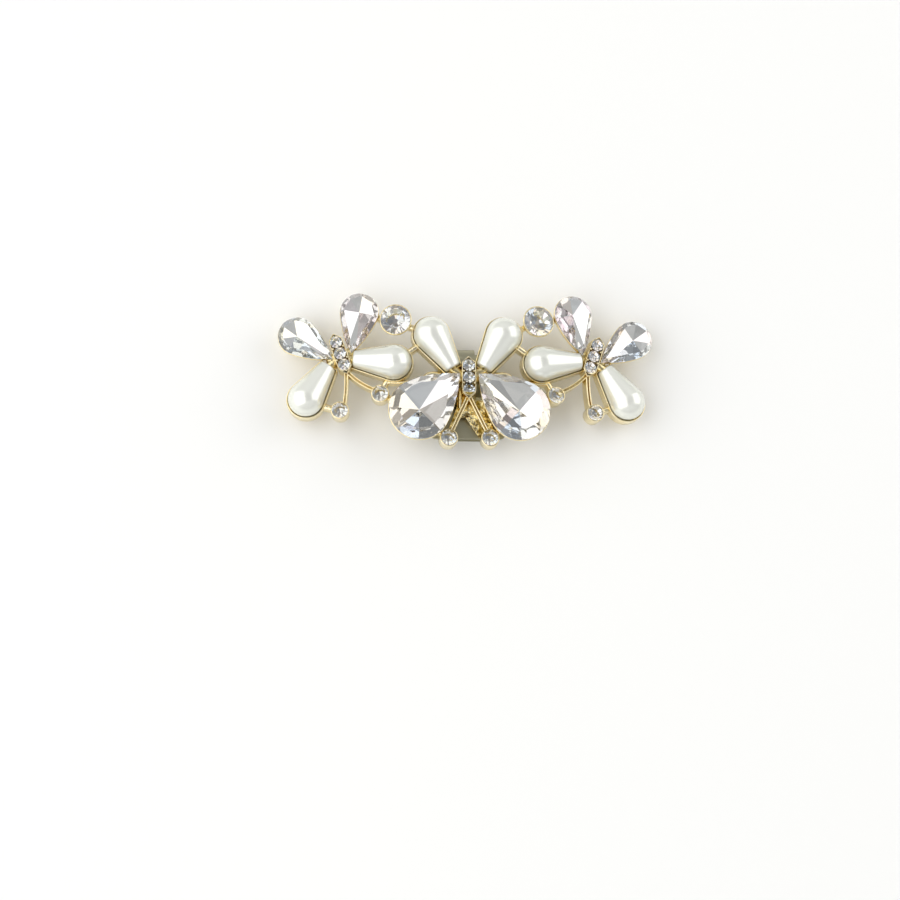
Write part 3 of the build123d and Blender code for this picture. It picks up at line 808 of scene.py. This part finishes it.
# %% Bodies
BODY_HALF = 3.85
CAP_START = 2.6
BODY_HALF_WIDTH = 1.22
BODY_END_HALF_WIDTH = 1.15
BODY_SIDE_POINTS = 13
BODY_TOP = 3.35
RAIL = 0.15
RAIL_ROUND = 0.1
RAIL_FALL = 0.08
POINT_INSET = 1.5 * RAIL
CHANNEL_FLOOR = 2.25
STONE_PITCH = 2.08
CAP_HOLLOW = 1.05
CAP_HOLLOW_TURN = 1.1
CAP_DROP = 0.55
CAP_CURVE = 1.5
CAP_SUNK = 0.2
CAP_ROUND = 0.2
CAP_LEAN = 0.12
CAP_PROUD = 0.02
PRONG_RADIUS = 0.2
PRONG_POINTS = 16
PRONG_ASIDE = 0.92
PRONG_SUNK = 0.1
PRONG_TOP = 3.6
PRONG_ROUND = 0.2
PRONG_TIP = 0.02


def boat_line(half, start, half_width, end_half_width):
    """A pointed boat seen from the front: bowed sides and straight pointed ends."""
    bow = (start**2 + (half_width - end_half_width) ** 2) / (2 * (half_width - end_half_width))
    spread = atan2(start, bow - half_width + end_half_width)
    side = arc((0, half_width - bow), bow, pi / 2 - spread, pi / 2 + spread, BODY_SIDE_POINTS)
    return [(half, 0)] + side + [(-half, 0)] + [(-x, -y) for x, y in side]


def cap_lift(x, y, height):
    """How far a body's top falls away towards its pointed ends."""
    beyond_cap = max(0.0, abs(x) - CAP_START) / (BODY_HALF - CAP_START)
    return -CAP_DROP * beyond_cap**CAP_CURVE if height > CHANNEL_FLOOR else 0.0


boat_half, boat_end = BODY_HALF - POINT_INSET, BODY_END_HALF_WIDTH - RAIL
boat = boat_line(boat_half, CAP_START, BODY_HALF_WIDTH - RAIL, boat_end)
boat_profile = (
    bevelled_foot(RAIL)
    + rounded((RAIL, BODY_TOP - RAIL_ROUND), (RAIL / 2, BODY_TOP), True)
    + rounded((RAIL / 2, BODY_TOP), (0.0, BODY_TOP - RAIL_FALL), False)[1:]
    + [(0.0, CHANNEL_FLOOR)]
)
cap_line = (
    [(boat_half, 0), (CAP_START, boat_end)]
    + arc((STONE_PITCH, 0), CAP_HOLLOW, CAP_HOLLOW_TURN, -CAP_HOLLOW_TURN, 9)
    + [(CAP_START, -boat_end)]
)
cap_profile = [(0.0, CHANNEL_FLOOR - CAP_SUNK)] + rounded(
    (0.0, BODY_TOP - CAP_ROUND), (-CAP_LEAN, BODY_TOP + CAP_PROUD), True, 4)
prong_profile = [(0.0, CHANNEL_FLOOR - PRONG_SUNK)] + rounded(
    (0.0, PRONG_TOP - PRONG_ROUND), (PRONG_TIP - PRONG_RADIUS, PRONG_TOP), True, 5)

for side, matrix in body_matrices.items():
    cast_form(f"body_{side}", matrix, boat, boat_profile, cap_lift)
    for end, turn in (("upper", 0.0), ("lower", pi)):
        turned = matrix @ Matrix.Rotation(turn, 4, "Z")
        cast_form(f"cap_{side}_{end}", turned, cap_line, cap_profile, cap_lift)
    spots = [(s * STONE_PITCH / 2, t * PRONG_ASIDE) for s in (-1, 1) for t in (-1, 1)]
    for number, (along, across) in enumerate(spots, 1):
        post = circle((along, across), PRONG_RADIUS, PRONG_POINTS)
        cast_form(f"prong_{side}_{number}", matrix, post, prong_profile)
print("bodies:", len(body_matrices))

# %% [markdown]
# Antennae
#
# Each antenna is a tall cast rib with two bright ridges and a groove between them, which reads as a
# double line from the front. It leaves the body's pointed foot and ends in the wall of its tip's cup.
# The side ones bow a little, and the outer ones meet their cups off centre. A path with no width,
# grown by the profile, gives ridges and groove in one skin.

# %% Antennae
ANTENNA_HALF = 0.36
ANTENNA_HEIGHT = 2.5
RIDGE_MIDDLE = 0.24
RIDGE_ROUND = 0.12
GROOVE_HALF = 0.12
GROOVE_DEPTH = 0.6
GROOVE_DRAFT = 0.04
ANTENNA_ROOT = 0.9
BOW_POINTS = 15

antenna_profile = (
    bevelled_foot(ANTENNA_HALF)
    + rounded((ANTENNA_HALF, ANTENNA_HEIGHT - RIDGE_ROUND), (RIDGE_MIDDLE, ANTENNA_HEIGHT), True)
    + rounded((RIDGE_MIDDLE, ANTENNA_HEIGHT), (GROOVE_HALF, ANTENNA_HEIGHT - RIDGE_ROUND), False)[1:]
    + [(GROOVE_HALF - GROOVE_DRAFT, ANTENNA_HEIGHT - GROOVE_DEPTH)]
)


def bowed_path(start, end, sag):
    """Points from start to end, bowed sideways by a sag, there and back as a closed line."""
    aside = (end - start).orthogonal().normalized() * sag
    steps = np.linspace(0, 1, BOW_POINTS if sag else 2)
    path = [tuple(start.lerp(end, t) + aside * 4 * t * (1 - t)) for t in steps]
    return path + path[-2:0:-1]


Antenna = namedtuple("Antenna", "side tip bow offset")
antennae = [
    Antenna("centre", "centre_tip_right", 0.0, 0.0), Antenna("centre", "centre_tip_left", 0.0, 0.0),
    Antenna("right", "inner_tip_right", 0.35, 0.0), Antenna("right", "outer_tip_right", -0.15, -0.6),
    Antenna("left", "inner_tip_left", -0.35, 0.0), Antenna("left", "outer_tip_left", 0.15, 0.6),
]
for side, tip, bow, offset in antennae:
    foot = in_plane(side, body_matrices[side] @ Vector(((ANTENNA_ROOT - BODY_HALF) * MM, 0, 0)))
    centre = centre_of(tip, side)
    way = (centre - foot).normalized()
    reach = seats[tip].width / 2
    wall = centre + way.orthogonal() * offset - way * (reach**2 - offset**2) ** 0.5
    cast_form("antenna_" + tip, planes[side], bowed_path(foot, wall, bow), antenna_profile)
print("antennae:", len(antennae))

# %% [markdown]
# Rough webs by the antennae
#
# Metal ran under the right antenna of the middle butterfly, from its foot to the tip's cup and out
# to the big pear's wall, and bridges the fork. A narrow web runs along the outside of the left
# antenna, and a short bright stay ties its foot to the body. The webs lie lower than the ridges, so
# the tumbler left them rough. A fine lip runs along their edge.

# %% Webs
RIGHT_WEB_LINE = [
    (1.05, -3.8), (2.3, -3.75), (2.85, -5.4), (3.25, -6.55), (3.9, -7.95), (4.15, -8.7), (3.9, -9.2),
    (2.3, -10.0), (1.85, -9.8), (-0.2, -6.55), (-0.5, -6.3), (-1.3, -6.5), (-0.4, -4.0),
]
LEFT_WEB_LINE = [
    (-0.6, -1.5), (-0.6, -4.0), (-2.5, -8.3), (-3.15, -8.3), (-2.05, -5.75), (-1.7, -4.7),
    (-1.8, -3.6), (-1.75, -1.5),
]
WEB_HEIGHT = 1.0
WEB_EDGE = 0.7
WEB_LIP = 0.12
WEB_SWELL = 0.25
STAY_LINE = [(-1.45, -2.3), (-1.45, -4.95)]
STAY_HALF = 0.33
STAY_HEIGHT = 2.1
TOP_FLAT = 0.05


def soft_top(half, height, softness):
    """Profile of a cast bar: upright sides and a soft top."""
    return bevelled_foot(half) + rounded((half, height - softness), (TOP_FLAT, height), True, 6)


web_profile = (
    [(0.0, 0.0)] + rounded((WEB_LIP, WEB_EDGE), (0.0, WEB_EDGE + WEB_LIP), True)
    + rounded((-WEB_LIP, WEB_EDGE), (-WEB_SWELL, WEB_HEIGHT), True, 6)
)
webs = [
    # the webs' deep brown and near-white patches are painted shade and painted glints over a rough skin
    cast_form("web_right", planes["centre"], RIGHT_WEB_LINE, web_profile, finish=mould_gold_with_painted_mottle),
    cast_form("web_left", planes["centre"], LEFT_WEB_LINE, web_profile, finish=mould_gold_with_painted_mottle),
    cast_form("stay_left", planes["centre"], STAY_LINE, soft_top(STAY_HALF, STAY_HEIGHT, STAY_HALF)),
]
print("webs and stay:", len(webs))

# %% [markdown]
# Links and roots
#
# Short bars tie the cups to each other, and thicker roots tie each wing to its body. They are cast,
# so their tops are soft. Each one runs from wall to wall, and stops there, because a stone's foil
# would show a bar that ran on inside the cup. Between the wings of the middle butterfly a bent
# crossbar runs from the body to the big pear's cup, and a thin rail ties that cup to the next pearl.

# %% Links and roots
LINK_HALF = 0.5
LINK_HEIGHT = 1.7
LINK_SOFTNESS = 0.35
ROOT_HALF = 0.85
ROOT_HEIGHT = 2.2
ROOT_SOFTNESS = 0.6
ROOT_OVERLAP = 0.1
CROSSBAR_REACH = 7.1
CROSSBAR_HEADING = radians(100)
CROSSBAR_ASIDE = -0.2
CROSSBAR_HALF = 0.5
CROSSBAR_HEIGHT = 2.0
BEND_START = 1.8
BEND_END = 0.75
BEND_POINTS = 9
SIDE_RAIL_FROM_PEARL = 3.66
SIDE_RAIL_FROM_PEAR = 5.25
SIDE_RAIL_HEADING = radians(78)
SIDE_RAIL_HALF = 0.28
SIDE_RAIL_SOFTNESS = 0.2


def cast_bar(name, side, line, half, height, softness):
    """A soft-topped bar along a line in a butterfly's plane."""
    cast_form(name, planes[side], [tuple(point) for point in line], soft_top(half, height, softness))


def link(name, side, first, second):
    """A bar between two cups, from wall to wall."""
    ends = [reach_to(first, side, centre_of(second, side)), reach_to(second, side, centre_of(first, side))]
    cast_bar(name, side, ends, LINK_HALF, LINK_HEIGHT, LINK_SOFTNESS)


def heading_from(point, reach, angle, outward):
    """The point at a reach and a heading, mirrored on the left side."""
    return point + reach * Vector((outward * cos(angle), sin(angle)))


def crossbar_line(pear, outward):
    """From the body's middle round a bend to the big pear's cup, there and back."""
    elbow = heading_from(pear, CROSSBAR_REACH, CROSSBAR_HEADING, outward)
    before = elbow * (1 - BEND_START / elbow.length)
    after = pear.lerp(elbow, BEND_END)
    bend = [before.lerp(elbow, t).lerp(elbow.lerp(after, t), t) for t in np.linspace(0, 1, BEND_POINTS)]
    return [(x, y + CROSSBAR_ASIDE) for x, y in [(0.0, 0.0)] + bend + bend[-2::-1]]


links = [
    ("centre_pearl", "inner_pearl"), ("centre_pearl", "round_stone"), ("round_stone", "inner_pear"),
    ("inner_pearl", "inner_tip"), ("inner_tip", "big_pear"), ("outer_tip", "outer_pearl"),
]
roots = [
    ("centre", "centre_pearl"), ("centre", "big_pear"), (None, "inner_pearl"), (None, "inner_pear"),
    (None, "outer_pear"), (None, "outer_pearl"),
]
rail_cups = ("inner_pearl", "inner_tip", "big_pear")
for side, outward in (("left", -1), ("right", 1)):
    for first, second in links:
        link(f"link_{first}_{second}_{side}", side, f"{first}_{side}", f"{second}_{side}")
    link(f"link_centre_tip_{side}", "centre", f"centre_tip_{side}", f"big_pear_{side}")
    for body, wing in roots:
        plane = body or side
        seat = seats[f"{wing}_{side}"]
        narrow = seat.matrix @ Vector(((seat.length - seat.width / 2 + ROOT_OVERLAP) * MM, 0, 0))
        line = [in_plane(plane, body_matrices[plane].translation), in_plane(plane, narrow)]
        cast_bar(f"root_{wing}_{side}", plane, line, ROOT_HALF, ROOT_HEIGHT, ROOT_SOFTNESS)
    line = crossbar_line(centre_of(f"big_pear_{side}", "centre"), outward)
    cast_bar(f"crossbar_{side}", "centre", line, CROSSBAR_HALF, CROSSBAR_HEIGHT, CROSSBAR_HALF)
    pearl, tip, pear = (centre_of(f"{name}_{side}", side) for name in rail_cups)
    line = [pearl + (tip - pearl).normalized() * SIDE_RAIL_FROM_PEARL,
            heading_from(pear, SIDE_RAIL_FROM_PEAR, SIDE_RAIL_HEADING, outward)]
    cast_bar(f"rail_{side}", side, line, SIDE_RAIL_HALF, LINK_HEIGHT, SIDE_RAIL_SOFTNESS)

# %% [markdown]
# The spring clip
#
# One stamped strip folds over the shoe's edge behind the middle butterfly. Its solid already has the
# right form, but a stamped edge is never sharp, because the strip is tumbled before plating. So the
# same corners are taken again and every sharp edge gets a bevel of 0.07 mm, which catches a line of
# light.

# %% Spring clip
STAMPED_EDGE = 0.07 * MM
FLAT_ANGLE = radians(1)
SHARP_ANGLE = radians(40)


def softened(name, source, finish, width):
    """A copy of a stamped solid with its edges rounded."""
    corners = [v.co for v in source.data.vertices]
    facets = [list(face.vertices) for face in source.data.polygons]
    piece = add_piece(name, corners, facets, [finish], source.name)
    builder = bmesh.new()
    builder.from_mesh(piece.data)
    bmesh.ops.dissolve_limit(builder, angle_limit=FLAT_ANGLE, verts=builder.verts, edges=builder.edges)
    edges = [edge for edge in builder.edges if edge.calc_face_angle(0) > SHARP_ANGLE]
    bmesh.ops.bevel(
        builder, geom=edges, offset=width, segments=2, profile=0.5, affect="EDGES", clamp_overlap=True)
    builder.to_mesh(piece.data)
    builder.free()
    piece.data.shade_smooth()
    piece.data.set_sharp_from_angle(angle=EDGE_ANGLE)
    return piece


clip = softened("spring_clip", nodes["shoe_clip"], nickel_plate, STAMPED_EDGE)
print("clip faces:", len(clip.data.polygons))

# %% [markdown]
# A table of white card
#
# The clip lies on matt white card. The card is large enough to fill the picture and every mirror in
# the jewel. Its tooth is about 0.8 mm across and very shallow, and it keeps the soft shadow from
# looking like paint.

# %% Table
CARD_WHITE = "#F6F6F4"
CARD_DULL = 0.75
CARD_TOOTH = 0.8 * MM
CARD_RELIEF = 0.05
CARD_DEPTH = 0.02 * MM
CARD_REACH = 2.0

white_card, tree, place = new_finish("matt_white_card")
tooth = noise(tree, place, 1 / CARD_TOOTH)
relief = add_node(
    tree, "ShaderNodeBump", {"Strength": CARD_RELIEF, "Distance": CARD_DEPTH}, {"Height": tooth})
cover(tree, {"Base Color": linear(CARD_WHITE), "Roughness": CARD_DULL}, {"Normal": relief.outputs["Normal"]})
sheet = bpy.data.meshes.new("table")
corners = [(x * CARD_REACH, y * CARD_REACH, 0) for x, y in ((-1, -1), (1, -1), (1, 1), (-1, 1))]
sheet.from_pydata(corners, [], [(0, 1, 2, 3)])
sheet.materials.append(white_card)
table = bpy.data.objects.new("table", sheet)
bpy.context.scene.collection.objects.link(table)
print("table:", 2 * CARD_REACH, "m square")

# %% [markdown]
# A white room with two softboxes
#
# Polished metal and foil show nothing but the room, so the room is what gives them form. It is a pale
# tent that darkens overhead, where the camera looks in. Flat tops mirror that dark part, while
# rounded rims catch the bright walls, and this keeps gold from looking like plaster. A wide softbox
# on the left and a smaller one low on the right draw the two streaks on each pearl. Cloth is
# brightest in front of its lamp, so each softbox is a dim sheet with a brighter middle. Two small
# point lamps would sparkle more, but their dots are too sharp for pearl.

# %% Light
ZENITH = (0.27, 0.27, 0.27, 1)
HORIZON = (0.57, 0.57, 0.57, 1)
DARK_FROM, DARK_AT = 0.78, 0.95
CLOTH = 1.08
HOT_SPOT = 0.9
HOT_SHARE = 0.55

world = bpy.data.worlds.new("studio")
bpy.context.scene.world = world
world.use_nodes = True
tree = world.node_tree
tree.nodes.clear()
output = add_node(tree, "ShaderNodeOutputWorld")
direction = add_node(tree, "ShaderNodeTexCoord").outputs["Generated"]
height = add_node(tree, "ShaderNodeSeparateXYZ", {}, {"Vector": direction}).outputs["Z"]
fade = remap(tree, height, start=(DARK_FROM, DARK_AT))
sky = add_node(
    tree, "ShaderNodeMix", {"data_type": "RGBA", MIX_A: HORIZON, MIX_B: ZENITH}, {MIX_FACTOR: fade})
shell = add_node(tree, "ShaderNodeBackground", {"Strength": 1.0}, {"Color": sky.outputs[MIX_RESULT]})
tree.links.new(shell.outputs["Background"], output.inputs["Surface"])


def softbox(name, azimuth, elevation, distance, size):
    """A dim sheet with a brighter middle, aimed at the clip; azimuth from the heel towards the right."""
    direction = Vector((sin(azimuth) * cos(elevation), cos(azimuth) * cos(elevation), sin(elevation)))
    for part, share, brightness in (("cloth", 1.0, CLOTH), ("middle", HOT_SHARE, HOT_SPOT)):
        lamp = bpy.data.lights.new(f"{name}_{part}", "AREA")
        lamp.shape = "RECTANGLE"
        lamp.size, lamp.size_y = size[0] * share, size[1] * share
        lamp.energy = brightness * pi * lamp.size * lamp.size_y
        light = bpy.data.objects.new(lamp.name, lamp)
        light.location = direction * distance
        light.rotation_mode = "QUATERNION"
        light.rotation_quaternion = direction.to_track_quat("Z", "Y")
        bpy.context.scene.collection.objects.link(light)
        print(lamp.name, round(lamp.energy, 1), "W")


softbox("softbox_left", azimuth=radians(-97), elevation=radians(42), distance=0.9, size=(1.6, 1.4))
softbox("softbox_right", azimuth=radians(72), elevation=radians(31), distance=1.0, size=(1.1, 0.9))

# %% [markdown]
# Light inside a stone
#
# Light crosses a foiled stone many times before it leaves, and a path that is cut short renders as a
# black patch. So the paths may be longer than usual. The view transform is the plain one, because a
# filmic one greys the white card and takes the snap from the stones.

# %% Paths and picture
PATH_LENGTH = 24

for kind in ("max_bounces", "glossy_bounces", "transmission_bounces"):
    setattr(bpy.context.scene.cycles, kind, PATH_LENGTH)
bpy.context.scene.view_settings.view_transform = "Standard"
print("bounces:", bpy.context.scene.cycles.max_bounces)
